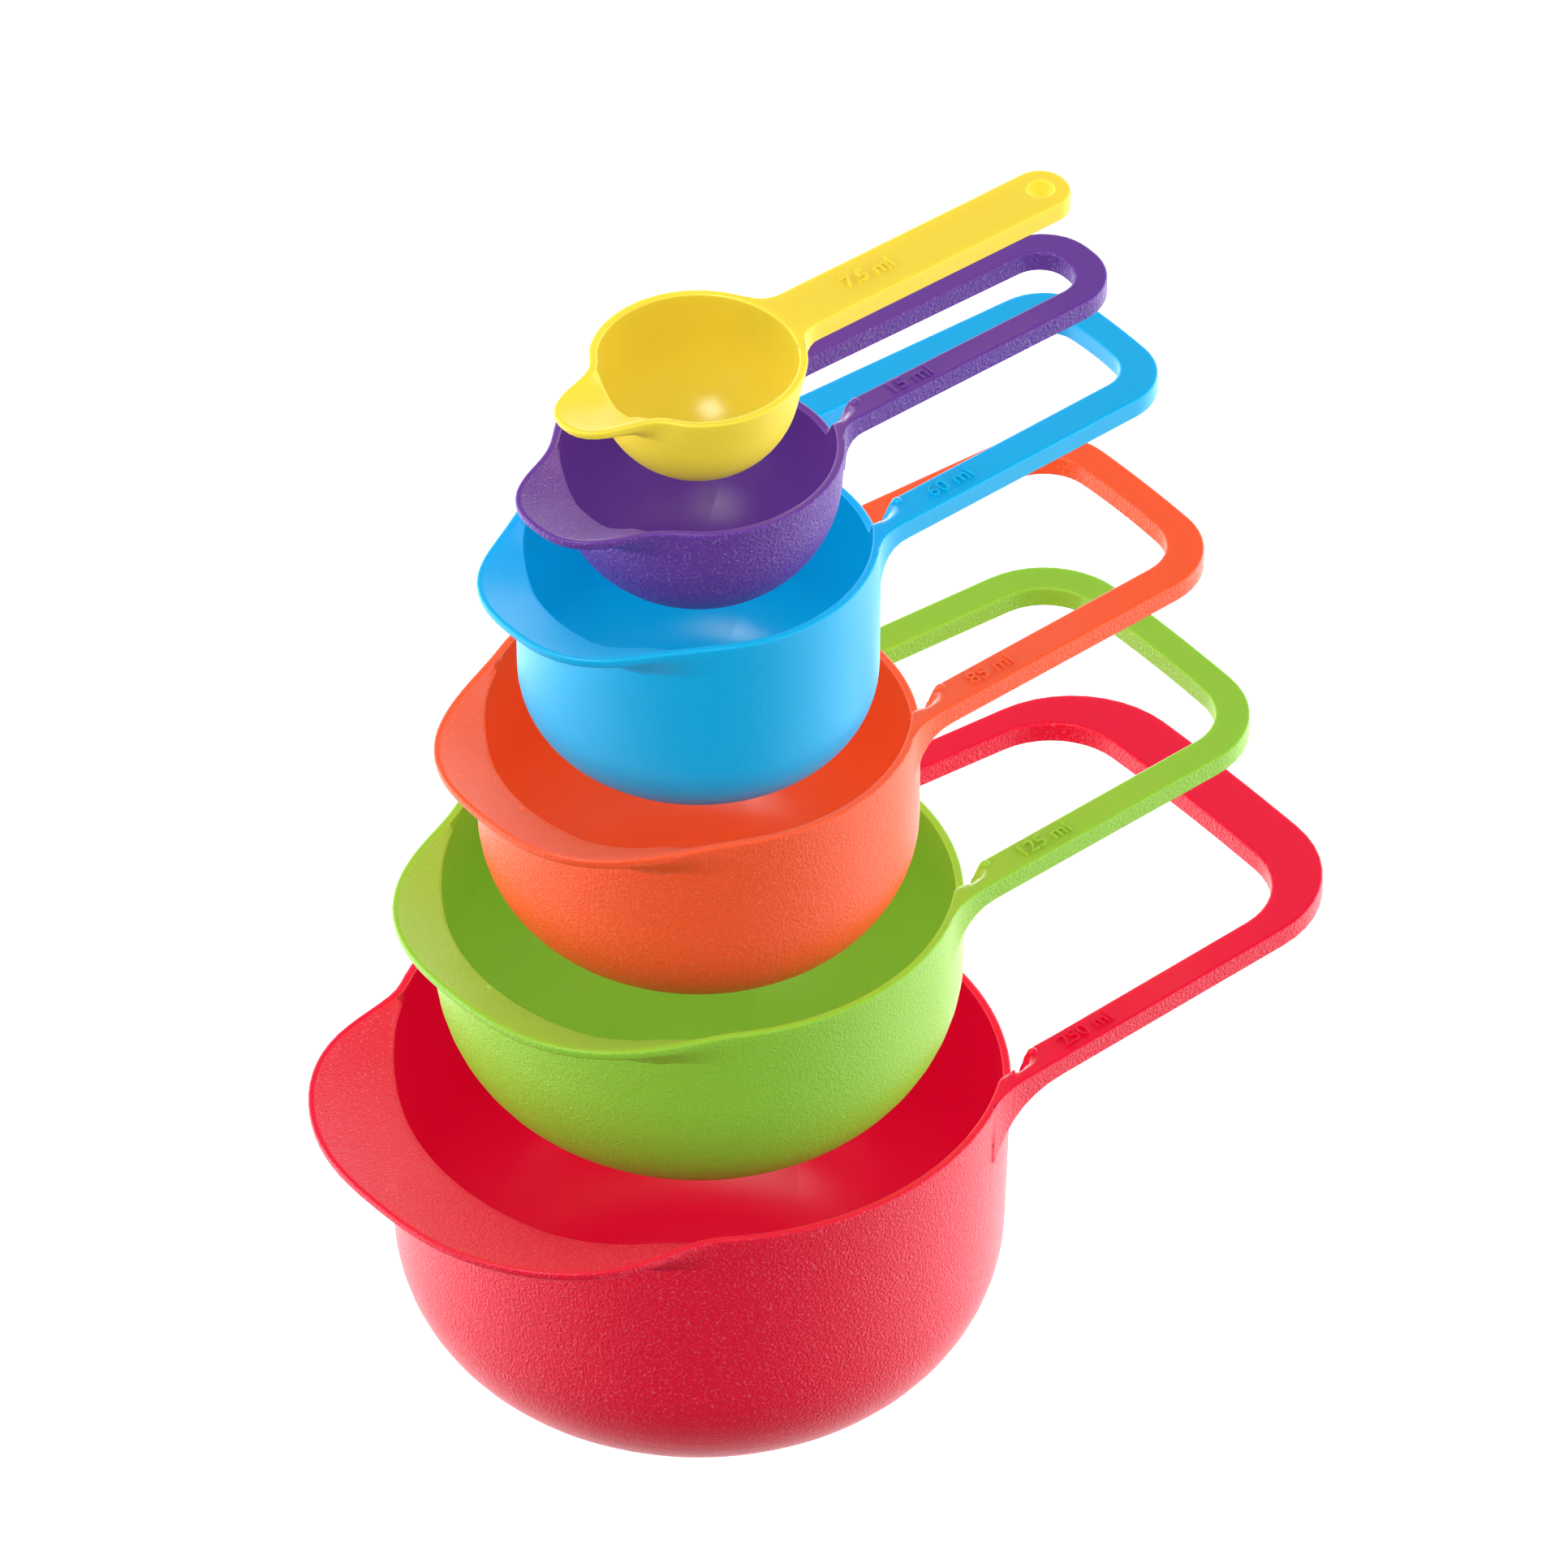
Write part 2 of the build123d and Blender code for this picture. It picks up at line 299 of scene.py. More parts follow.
class Shell:
    """Vertices in millimetres and faces, each face with its finish."""

    def __init__(self):
        self.points, self.faces, self.finishes = [], [], []

    def add_points(self, points):
        first = len(self.points)
        self.points += [tuple(map(float, p)) for p in points]
        return np.arange(first, len(self.points))

    def add_face(self, corners, finish):
        self.faces.append(tuple(int(i) for i in corners))
        self.finishes.append(finish)

    def bridge(self, one, other, finish, closed=False):
        """Quads between two rows of the same number of points."""
        count = len(one)
        for i in range(count if closed else count - 1):
            j = (i + 1) % count
            self.add_face((one[i], one[j], other[j], other[i]), finish)

    def fan(self, ring, centre, finish):
        for i in range(len(ring)):
            self.add_face((ring[i], ring[(i + 1) % len(ring)], centre), finish)

    def object(self, name, lift):
        mesh = bpy.data.meshes.new(name)
        points = (np.array(self.points) + (0, 0, lift)) * MM
        mesh.from_pydata(points.tolist(), [], self.faces)
        finish = mesh.attributes.new("finish", "FLOAT", "FACE")
        finish.data.foreach_set("value", self.finishes)
        shaped = bmesh.new()
        shaped.from_mesh(mesh)
        bmesh.ops.recalc_face_normals(shaped, faces=shaped.faces)
        shaped.to_mesh(mesh)
        shaped.free()
        mesh.polygons.foreach_set("use_smooth", [True] * len(mesh.polygons))
        piece = bpy.data.objects.new(name, mesh)
        bpy.context.scene.collection.objects.link(piece)
        return piece


def column_angles(form, skin):
    """Angles of the bowl's columns, starting at the near side of the lowered back rim."""
    radius = form.radius - skin
    outer_end = atan2(*root_blend(form)[0][::-1])
    shares = np.linspace(0, 1, ARM_COLUMNS + 1) ** COLUMN_CROWDING
    if form.arm:
        inner = side_crossing(form, form.arm, radius)
        start = atan2(inner[1], inner[0])
        notch = np.linspace(-start, start, NOTCH_COLUMNS + 1)[:-1]
        arm = start + (outer_end - start) * shares
        rim = np.linspace(outer_end, 2 * pi - outer_end, RIM_COLUMNS + 1)[1:]
        far_arm = (2 * pi - arm[::-1])[1:-1]
        return np.concatenate([notch, arm, rim, far_arm])
    bar = np.linspace(-outer_end, outer_end, 2 * ARM_COLUMNS + 1)
    rim = np.linspace(outer_end, 2 * pi - outer_end, RIM_COLUMNS + 1)[1:-1]
    return np.concatenate([bar, rim])


def rim_drop(form, distance):
    """How far the top lies below the rim at a distance from the edge of the back notch."""
    return -form.notch * (1 - smoothstep(distance / NOTCH_RAMP))


def band_height(form, skin, row, overhang, lip_share, drop):
    """Height of one row of the band below the rim, and how far up the lip's slope it is."""
    if skin == 0.0:
        band_top, slope, first = LIP_BAND, np.full_like(overhang, form.lip_slope), 1
    else:
        band_top, slope, first = 0.0, np.maximum(form.lip_slope * overhang, LEAST_SLOPE), 0
    foot = -band_top - slope
    lowest = -(LIP_BAND + form.lip_slope) - LIP_FOOT
    if row <= LIP_ROWS:
        lip_z = -band_top * min(row, 1) - slope * max(0, row - first) / (LIP_ROWS - first)
    else:
        lip_z = foot + (lowest - foot) * (row - LIP_ROWS) / (BAND_ROWS - LIP_ROWS)
    arm_z = drop + (-(HANDLE_THICKNESS + form.under_round) - drop) * row / BAND_ROWS
    z = lip_share * lip_z + (1 - lip_share) * arm_z
    return z, np.clip(1 + (z + band_top) / slope, 0, 1)


def add_skin(shell, form, skin, margin, toe, finish):
    """One skin of the bowl with its lip; returns its band rows and each column's overhang."""
    angles = column_angles(form, skin)
    from_lip = np.abs(np.abs((angles + pi) % (2 * pi) - pi) - pi)
    from_handle = pi - from_lip
    outline = lip_curve(form, skin, margin)(from_lip)
    notch_edge = angles[NOTCH_COLUMNS] if form.arm else 0.0
    drop = rim_drop(form, np.maximum(from_handle - notch_edge, 0.0) * form.radius)
    lip_start = pi - radians(form.lip_spread)
    arm_end = atan2(*root_blend(form)[0][::-1])
    lip_share = smoothstep((from_handle - arm_end) / (lip_start - arm_end))
    bulge = outline - (form.radius - skin)
    overhang = np.clip(bulge / (form.lip_reach - form.radius), 0, 1)
    rows = []
    for row in range(BAND_ROWS + 1):
        z, height = band_height(form, skin, row, overhang, lip_share, drop)
        radius = skin_radius(form, z, skin) + bulge * faded(height, toe)
        ring = np.stack([radius * np.cos(angles), radius * np.sin(angles), z], axis=1)
        rows.append(shell.add_points(ring))
    band_foot = -max(LIP_BAND + form.lip_slope, HANDLE_THICKNESS + form.under_round) - BAND_CLEARANCE
    for radius, z in bowl_rows(form, skin, band_foot):
        rows.append(shell.add_points([(radius * cos(a), radius * sin(a), z) for a in angles]))
    pole = shell.add_points([(0, 0, -(form.depth - skin))])[0]
    for upper, lower in zip(rows[BAND_ROWS:], rows[BAND_ROWS + 1:]):
        shell.bridge(upper, lower, finish, closed=True)
    shell.fan(rows[-1], pole, finish)
    return rows[:BAND_ROWS + 1], overhang


def add_bowl(shell, form):
    """The shell of the bowl with its lip; returns the outer rows of the band below the rim."""
    outer, _ = add_skin(shell, form, 0.0, 0.0, LIP_TOE_OUTSIDE, OUTSIDE)
    inner, overhang = add_skin(shell, form, form.wall, LIP_MARGIN, LIP_TOE_INSIDE, INSIDE)
    shell.bridge(outer[0], inner[0], TOP, closed=True)
    on_lip = (overhang > LEAST_OVERHANG) & (np.roll(overhang, -1) > LEAST_OVERHANG)
    for row in range(BAND_ROWS):
        for i, frosted in enumerate(on_lip):
            j = (i + 1) % len(on_lip)
            finish = OUTSIDE if frosted and row < LIP_ROWS else INSIDE
            shell.add_face((inner[row][i], inner[row][j], inner[row + 1][j], inner[row + 1][i]), finish)
    return outer


def close_band(shell, outer, patches):
    """The bowl's outer band, left open where a handle root joins it."""
    count = len(outer[0])
    taken = {(a, b) for patch in patches for a, b in zip(patch, patch[1:])}
    taken |= {(b, a) for a, b in taken}
    for upper, lower in zip(outer, outer[1:]):
        for i in range(count):
            j = (i + 1) % count
            if (i, j) not in taken:
                shell.add_face((upper[i], upper[j], lower[j], lower[i]), OUTSIDE)


def under_z(form, x, y):
    """Height of the handle's underside, which sweeps down into the bowl's wall."""
    away = np.clip(np.hypot(x, y) - form.radius, 0, form.under_round)
    inward = form.under_round - away
    return -HANDLE_THICKNESS - (form.under_round - np.sqrt(form.under_round ** 2 - inward ** 2))


def root_sections(form, start_row, edge_one, edge_two, last_row):
    """Plan positions between a row on the bowl and the first straight section (a Coons patch)."""
    shares = np.linspace(0, 1, len(start_row))[:, None]
    sections = []
    steps = np.linspace(0, 1, ROOT_SECTIONS + 1)[1:] ** SECTION_CROWDING
    ones, twos = resample(edge_one, steps), resample(edge_two, steps)
    for t, one, two in zip(steps, ones, twos):
        across = (1 - shares) * one + shares * two
        along = (1 - t) * start_row + t * last_row
        corners = ((1 - shares) * ((1 - t) * start_row[0] + t * last_row[0])
                   + shares * ((1 - t) * start_row[-1] + t * last_row[-1]))
        sections.append(across + along - corners)
    return sections


def section_ring(shell, form, plan, corner):
    """One ring round the handle's section: top, far side, underside and near side."""
    x, y = plan.T
    top_z = np.zeros_like(x)
    if form.notch:
        top_z = rim_drop(form, np.hypot(x - corner[0], np.abs(y) - corner[1]))
    low_z = under_z(form, x, y)
    down = (np.arange(1, BAND_ROWS) / BAND_ROWS)[:, None]
    top = np.stack([x, y, top_z], axis=1)
    low = np.stack([x, y, low_z], axis=1)
    far = top[-1] + (low[-1] - top[-1]) * down
    near = low[0] + (top[0] - low[0]) * down
    return shell.add_points(np.concatenate([top, far, low[::-1], near]))


def lattice_ring(outer, patch):
    """The same ring where the handle leaves the bowl, in the bowl's own points."""
    top, low = outer[0][patch], outer[-1][patch]
    far = [row[patch[-1]] for row in outer[1:-1]]
    near = [row[patch[0]] for row in outer[-2:0:-1]]
    return np.concatenate([top, far, low[::-1], near])


def bridge_handle(shell, rings, columns):
    """Faces along the handle, satin on top and frosted round the sides."""
    for one, other in zip(rings, rings[1:]):
        count = len(one)
        for i in range(count):
            j = (i + 1) % count
            finish = TOP if i < columns else OUTSIDE
            shell.add_face((one[i], one[j], other[j], other[i]), finish)


def add_loop_handle(shell, form, outer):
    """The flat looped handle from one root round its end to the other root."""
    count = len(outer[0])
    patch = np.arange(NOTCH_COLUMNS, NOTCH_COLUMNS + ARM_COLUMNS + 1)
    far_patch = np.concatenate([[0], np.arange(count - 1, count - ARM_COLUMNS - 1, -1)])
    close_band(shell, outer, [list(patch), list(far_patch)])
    points = np.array(shell.points)
    corner = points[outer[0][patch[0]]][:2]
    start_row = points[outer[0][patch]][:, :2]

    blend = root_blend(form)
    straight_x = max(corner[0] + form.under_round, blend[-1][0]) + LOOP_LEAD
    inner_start = np.array([straight_x, half_width_at(form, straight_x) - form.arm])
    outer_start = np.array([straight_x, half_width_at(form, straight_x)])
    shares = np.linspace(0, 1, ARM_COLUMNS + 1)[:, None]
    last_row = (1 - shares) * inner_start + shares * outer_start
    plans = root_sections(form, start_row, [corner, inner_start], np.vstack([blend, outer_start]), last_row)

    hole_end = end_curve(form, form.arm, form.end - form.end_bar, form.hole_round)
    outer_end = end_curve(form, 0.0, form.end, form.end_round)
    for t in np.linspace(0, 1, STRAIGHT_SECTIONS + 1)[1:-1]:
        inner_point = (1 - t) * inner_start + t * hole_end[0]
        outer_point = (1 - t) * outer_start + t * outer_end[0]
        plans.append((1 - shares) * inner_point + shares * outer_point)
    for inner_point, outer_point in zip(hole_end, outer_end):
        plans.append((1 - shares) * inner_point + shares * outer_point)

    mirrored = [plan * (1, -1) for plan in reversed(plans[:-1])]
    rings = [section_ring(shell, form, plan, corner) for plan in plans + mirrored]
    rings = [lattice_ring(outer, patch)] + rings + [lattice_ring(outer, far_patch)]
    bridge_handle(shell, rings, ARM_COLUMNS)


def add_bar_handle(shell, form, outer):
    """The solid bar handle with a hanging hole near its rounded end."""
    patch = np.arange(0, 2 * ARM_COLUMNS + 1)
    close_band(shell, outer, [list(patch)])
    points = np.array(shell.points)
    start_row = points[outer[0][patch]][:, :2]
    blend = root_blend(form)
    straight_x = max(form.radius + form.under_round, blend[-1][0]) + BAR_LEAD
    side = np.vstack([blend, [straight_x, half_width_at(form, straight_x)]])
    shares = np.linspace(0, 1, len(patch))[:, None]

    def straight_row(x):
        half = half_width_at(form, x)
        return (1 - shares) * np.array([x, -half]) + shares * np.array([x, half])

    plans = root_sections(form, start_row, side * (1, -1), side, straight_row(straight_x))
    hole_x = form.end - HANG_HOLE_INSET
    last_x = hole_x - BAR_COLLAR * form.root_half
    plans += [straight_row(x) for x in np.linspace(straight_x, last_x, 2 * STRAIGHT_SECTIONS)[1:]]
    rings = [lattice_ring(outer, patch)] + [section_ring(shell, form, plan, (0, 0)) for plan in plans]
    bridge_handle(shell, rings, len(patch) - 1)
    add_bar_end(shell, form, rings[-1], plans[-1], hole_x)


def add_bar_end(shell, form, ring, plan, hole_x):
    """The rounded end of the bar as a collar of faces round the hanging hole."""
    quarter = np.linspace(pi / 2, 0, CORNER_SECTIONS + 1)
    centre_x, corner_y = form.end - form.end_round, form.root_half - form.end_round
    bend = np.stack([centre_x + form.end_round * np.cos(quarter),
                     corner_y + form.end_round * np.sin(quarter)], axis=1)
    half = np.vstack([[hole_x - BAR_EDGE * form.root_half, form.root_half], bend])
    edge = np.vstack([half, half[::-1] * (1, -1)])
    count, side_rows = len(plan), BAND_ROWS - 1
    top = shell.add_points([(x, y, 0.0) for x, y in edge])
    low = shell.add_points([(x, y, -HANDLE_THICKNESS) for x, y in edge])
    between = [shell.add_points([(x, y, -HANDLE_THICKNESS * row / BAND_ROWS) for x, y in edge])
               for row in range(1, BAND_ROWS)]
    ring_top, ring_low = ring[:count], ring[count + side_rows:2 * count + side_rows][::-1]
    far = ring[count:count + side_rows]
    near = ring[2 * count + side_rows:][::-1]
    columns = [np.concatenate([[ring_top[-1]], top, [ring_top[0]]])]
    columns += [np.concatenate([[far[i]], between[i], [near[i]]]) for i in range(side_rows)]
    columns += [np.concatenate([[ring_low[-1]], low, [ring_low[0]]])]
    for upper, lower in zip(columns, columns[1:]):
        shell.bridge(upper, lower, OUTSIDE)
    hole_rows = []
    for outline, height, finish in ((np.concatenate([ring_top, top]), 0.0, TOP),
                                    (np.concatenate([ring_low, low]), -HANDLE_THICKNESS, OUTSIDE)):
        spots = np.array(shell.points)[outline][:, :2] - (hole_x, 0)
        angle = np.arctan2(spots[:, 1], spots[:, 0])
        hole = shell.add_points([(hole_x + form.hang_hole * cos(a), form.hang_hole * sin(a), height)
                                 for a in angle])
        shell.bridge(outline, hole, finish, closed=True)
        hole_rows.append(hole)
    shell.bridge(hole_rows[0], hole_rows[1], OUTSIDE, closed=True)


def mould_cup(context, node):
    """Builds one cup as a closed mesh with rounded edges that stands for its CAD node."""
    form = cup_form(context, node)
    shell = Shell()
    outer = add_bowl(shell, form)
    if form.arm:
        add_loop_handle(shell, form, outer)
    else:
        add_bar_handle(shell, form, outer)
    piece = shell.object(node.replace("cup", "moulded_cup"), form.rim)
    rounding = piece.modifiers.new("rounded edges", "BEVEL")
    rounding.width = context.scene.cup_mould.edge_round
    rounding.segments = 3
    rounding.limit_method = "ANGLE"
    rounding.angle_limit = radians(32)
    rounding.use_clamp_overlap = False
    rounding.miter_outer = "MITER_ARC"
    even = piece.modifiers.new("even shading", "WEIGHTED_NORMAL")
    even.weight = 50
    even.keep_sharp = False
    return piece


# ---------------------------------------------------------------- shader maths

class Socket:
    """An output socket that Python's operators turn into Math nodes."""

    def __init__(self, tree, output):
        self.tree, self.output = tree, output

    def math(self, operation, *values):
        return self.tree.node("ShaderNodeMath", {"operation": operation}, *values)

    def __add__(self, other):
        return self.math("ADD", self, other)

    def __radd__(self, other):
        return self.math("ADD", other, self)

    def __sub__(self, other):
        return self.math("SUBTRACT", self, other)

    def __rsub__(self, other):
        return self.math("SUBTRACT", other, self)

    def __mul__(self, other):
        return self.math("MULTIPLY", self, other)

    def __rmul__(self, other):
        return self.math("MULTIPLY", other, self)

    def clamp(self, low, high):
        return self.math("MINIMUM", self.math("MAXIMUM", self, low), high)


class Tree:
    """A node tree with one method that adds any node."""

    def __init__(self, tree):
        self.tree = tree

    def node(self, kind, settings=None, *values, out=0, **named):
        made = self.tree.nodes.new(kind)
        for key, value in (settings or {}).items():
            setattr(made, key, value)
        for key, value in list(enumerate(values)) + [(k.replace("_", " "), v) for k, v in named.items()]:
            if value is None:
                continue
            if isinstance(value, Socket):
                self.tree.links.new(value.output, made.inputs[key])
            else:
                made.inputs[key].default_value = value
        return Socket(self, made.outputs[out])

    def blend(self, factor, one, other):
        """Colour between one and other."""
        made = self.tree.nodes.new("ShaderNodeMix")
        made.data_type = "RGBA"
        for key, value in ((0, factor), (6, one), (7, other)):
            if isinstance(value, Socket):
                self.tree.links.new(value.output, made.inputs[key])
            else:
                made.inputs[key].default_value = value
        return Socket(self, made.outputs[2])


# Sizes of the noises, per metre
GRAIN_SCALE = 2300.0
PIT_SCALE = 1900.0
CLOUD_SCALE = 55.0
FLOW_SCALE = 140.0
SHADE_AND_MOTTLE_SHARE = 0.62        # brightness of the darker colour: painted shade on the inside faces, random mottling on all faces
BUMP_DEPTH = 0.3 * MM
LIGHT_REACH = 4 * MM     # how far light travels inside the plastic


def moulded_plastic(name, colour, glint_paleness, grain_height):
    """Injection-moulded plastic: glossy inside with painted shade that darkens its colour, satin on top,
    frosted grain outside with painted glints on the grain's peaks.
    """
    material = bpy.data.materials.new(name)
    material.use_nodes = True
    tree = Tree(material.node_tree)
    shader = material.node_tree.nodes["Principled BSDF"]
    place = tree.node("ShaderNodeTexCoord", out=3)
    finish = tree.node("ShaderNodeAttribute", {"attribute_name": "finish"}, out=2)
    frosted = (finish * 2 - 1).clamp(0, 1)
    polished = (1 - finish * 2).clamp(0, 1)

    grain = tree.node("ShaderNodeTexNoise", None, place, Scale=GRAIN_SCALE, Detail=2.5, Roughness=0.6)
    pits = tree.node("ShaderNodeTexVoronoi", None, place, Scale=PIT_SCALE)
    cloud = tree.node("ShaderNodeTexNoise", None, place, Scale=CLOUD_SCALE, Detail=2.0)
    flow = tree.node("ShaderNodeTexNoise", None, place, Scale=FLOW_SCALE, Detail=1.0)

    # painted glints: on frosted faces the grain's peaks are paled towards white
    pale = tuple(c + (1 - c) * glint_paleness for c in colour) + (1.0,)
    # painted shade: the inside faces take most of this darker colour, and a random cloud mottles every face
    # a little towards it
    shade_and_mottle = tuple(c * SHADE_AND_MOTTLE_SHARE for c in colour) + (1.0,)
    body = tree.blend(polished * 0.8 + cloud * 0.1, colour + (1.0,), shade_and_mottle)
    glint_speck = (grain * 8 - 4.6).clamp(0, 1)    # painted glints: only the peaks of the grain are paled towards white
    skin = tree.blend(frosted * glint_speck, body, pale)
    tree.tree.links.new(skin.output, shader.inputs["Base Color"])

    rough = 0.3 - polished * 0.05 + frosted * 0.08 + frosted * grain * 0.1 + cloud * 0.02
    tree.tree.links.new(rough.output, shader.inputs["Roughness"])

    relief = frosted * (grain + pits * 0.35) * grain_height + (1 - frosted) * flow * 0.02
    bump = tree.node("ShaderNodeBump", None, Strength=1.0, Distance=BUMP_DEPTH, Height=relief)
    tree.tree.links.new(bump.output, shader.inputs["Normal"])
    shader.inputs["IOR"].default_value = 1.5
    shader.inputs["Subsurface Weight"].default_value = 0.3
    shader.inputs["Subsurface Radius"].default_value = colour_reach(colour)
    shader.inputs["Subsurface Scale"].default_value = LIGHT_REACH
    return material


def colour_reach(colour):
    """How far each colour of light travels in the plastic, further where it is less absorbed."""
    return tuple(0.15 + 0.85 * c for c in colour)


# The first number of each finish is how far the painted glints pale the grain's peaks towards white; the
# second is the height of the grain's bumps.
FINISHES = {
    "red_plastic": dict(glint_paleness=0.1, grain_height=0.8),
    "green_plastic": dict(glint_paleness=0.06, grain_height=0.5),
    "orange_plastic": dict(glint_paleness=0.07, grain_height=0.5),
    "blue_plastic": dict(glint_paleness=0.02, grain_height=0.1),
    "purple_plastic": dict(glint_paleness=0.13, grain_height=0.9),
    "yellow_plastic": dict(glint_paleness=0.02, grain_height=0.1),
}


def cup_material(context, slot):
    """The plastic of one cup, made once and then shared by its pieces."""
    name = slot.replace("plastic", "moulded_plastic")
    if name in bpy.data.materials:
        return bpy.data.materials[name]
    colour = tuple(getattr(context.scene.cup_colours, slot))
    return moulded_plastic(name, colour, **FINISHES[slot])


# ---------------------------------------------------------------- geometry nodes

def new_tree(name, sockets):
    """An empty geometry tree with a mesh in, a mesh out and named inputs."""
    tree = bpy.data.node_groups.new(name, "GeometryNodeTree")
    tree.interface.new_socket("Geometry", in_out="INPUT", socket_type="NodeSocketGeometry")
    tree.interface.new_socket("Geometry", in_out="OUTPUT", socket_type="NodeSocketGeometry")
    for socket_name, kind, default in sockets:
        socket = tree.interface.new_socket(socket_name, in_out="INPUT", socket_type=kind)
        if default is not None:
            socket.default_value = default
    return tree


def satin_finish(nodes):
    """Node that gives every face the finish of the handle's top."""
    store = nodes.new("GeometryNodeStoreNamedAttribute")
    store.data_type, store.domain = "FLOAT", "FACE"
    store.inputs["Name"].default_value = "finish"
    store.inputs["Value"].default_value = TOP
    return store


def mark_tree():
    """Raised lettering: a string becomes outlines, flat faces and then closed relief."""
    if "Raised mark" in bpy.data.node_groups:
        return bpy.data.node_groups["Raised mark"]
    group = new_tree("Raised mark", (
        ("Text", "NodeSocketString", "250 ml"), ("Letter size", "NodeSocketFloat", 0.0034),
        ("Relief", "NodeSocketFloat", 0.0004), ("Place", "NodeSocketVector", (0, 0, 0)),
        ("Turn", "NodeSocketVector", (0, 0, 0)), ("Plastic", "NodeSocketMaterial", None)))
    nodes, link = group.nodes, group.links.new
    given, result = nodes.new("NodeGroupInput"), nodes.new("NodeGroupOutput")
    letters = nodes.new("GeometryNodeStringToCurves")
    letters.align_y = "MIDDLE"
    whole = nodes.new("GeometryNodeRealizeInstances")
    flat = nodes.new("GeometryNodeFillCurve")
    flat.mode = "TRIANGLES"
    raised = nodes.new("GeometryNodeExtrudeMesh")
    raised.inputs["Individual"].default_value = False
    base = nodes.new("GeometryNodeFlipFaces")
    both = nodes.new("GeometryNodeJoinGeometry")
    weld = nodes.new("GeometryNodeMergeByDistance")
    weld.inputs["Distance"].default_value = 1e-6
    placed = nodes.new("GeometryNodeTransform")
    real = nodes.new("GeometryNodeRealizeInstances")
    satin = satin_finish(nodes)
    painted = nodes.new("GeometryNodeSetMaterial")
    link(given.outputs["Text"], letters.inputs["String"])
    link(given.outputs["Letter size"], letters.inputs["Size"])
    link(letters.outputs["Curve Instances"], whole.inputs["Geometry"])
    link(whole.outputs["Geometry"], flat.inputs["Curve"])
    link(flat.outputs["Mesh"], raised.inputs["Mesh"])
    link(given.outputs["Relief"], raised.inputs["Offset Scale"])
    link(flat.outputs["Mesh"], base.inputs["Mesh"])
    link(raised.outputs["Mesh"], both.inputs["Geometry"])
    link(base.outputs["Mesh"], both.inputs["Geometry"])
    link(both.outputs["Geometry"], weld.inputs["Geometry"])
    link(weld.outputs["Geometry"], placed.inputs["Geometry"])
    link(given.outputs["Place"], placed.inputs["Translation"])
    link(given.outputs["Turn"], placed.inputs["Rotation"])
    link(placed.outputs["Geometry"], real.inputs["Geometry"])
    link(real.outputs["Geometry"], satin.inputs["Geometry"])
    link(satin.outputs["Geometry"], painted.inputs["Geometry"])
    link(given.outputs["Plastic"], painted.inputs["Material"])
    link(painted.outputs["Geometry"], result.inputs["Geometry"])
    return group


def nub_tree():
    """A small ball on every point of the mesh that comes in."""
    if "Snap nubs" in bpy.data.node_groups:
        return bpy.data.node_groups["Snap nubs"]
    group = new_tree("Snap nubs", (("Ball radius", "NodeSocketFloat", 0.0009),
                                   ("Plastic", "NodeSocketMaterial", None)))
    nodes, link = group.nodes, group.links.new
    given, result = nodes.new("NodeGroupInput"), nodes.new("NodeGroupOutput")
    ball = nodes.new("GeometryNodeMeshUVSphere")
    ball.inputs["Segments"].default_value = 24
    ball.inputs["Rings"].default_value = 14
    smooth = nodes.new("GeometryNodeSetShadeSmooth")
    spread = nodes.new("GeometryNodeInstanceOnPoints")
    real = nodes.new("GeometryNodeRealizeInstances")
    satin = satin_finish(nodes)
    painted = nodes.new("GeometryNodeSetMaterial")
    link(given.outputs["Ball radius"], ball.inputs["Radius"])
    link(ball.outputs["Mesh"], smooth.inputs["Geometry"])
    link(given.outputs["Geometry"], spread.inputs["Points"])
    link(smooth.outputs["Geometry"], spread.inputs["Instance"])
    link(spread.outputs["Instances"], real.inputs["Geometry"])
    link(real.outputs["Geometry"], satin.inputs["Geometry"])
    link(satin.outputs["Geometry"], painted.inputs["Geometry"])
    link(given.outputs["Plastic"], painted.inputs["Material"])
    link(painted.outputs["Geometry"], result.inputs["Geometry"])
    return group


def grown_piece(name, points, group, inputs):
    """Runs a geometry tree on a mesh of points and keeps the result as a plain mesh."""
    seed = bpy.data.meshes.new(name + "_seed")
    seed.from_pydata([tuple(p) for p in points], [], [])
    source = bpy.data.objects.new(name + "_source", seed)
    bpy.context.scene.collection.objects.link(source)
    modifier = source.modifiers.new(group.name, "NODES")
    modifier.node_group = group
    for item in group.interface.items_tree:
        if item.in_out == "INPUT" and item.name in inputs:
            modifier[item.identifier] = inputs[item.name]
    evaluated = source.evaluated_get(bpy.context.evaluated_depsgraph_get())
    mesh = bpy.data.meshes.new_from_object(evaluated)
    source.modifiers.remove(modifier)
    bpy.data.objects.remove(source)
    mesh.name = name
    piece = bpy.data.objects.new(name, mesh)
    bpy.context.scene.collection.objects.link(piece)
    if not mesh.polygons:
        raise RuntimeError(f"{name} came out empty")
    return piece


# ---------------------------------------------------------------- properties

def length(name, description, default):
    return bpy.props.FloatProperty(name=name, description=description, default=default, min=0.0,
                                   unit="LENGTH", precision=5)


def colour(name, description, default):
    return bpy.props.FloatVectorProperty(name=name, description=description, default=default,
                                         subtype="COLOR", size=3, min=0.0, max=1.0)


class CupMould(bpy.types.PropertyGroup):
    """Sizes that all the cups share."""

    wall: length("Wall", "Thickness of the bowl's wall", 1.3 * MM)
    edge_round: length("Edge rounding", "Width of the rounding on every edge", 0.38 * MM)
    letter_size: length("Letter size", "Size of the capacity marks", 3.6 * MM)
    relief: length("Mark relief", "How far the capacity marks stand out", 0.3 * MM)
    nub_radius: length("Nub radius", "Radius of the balls that the nested cups snap over", 0.9 * MM)


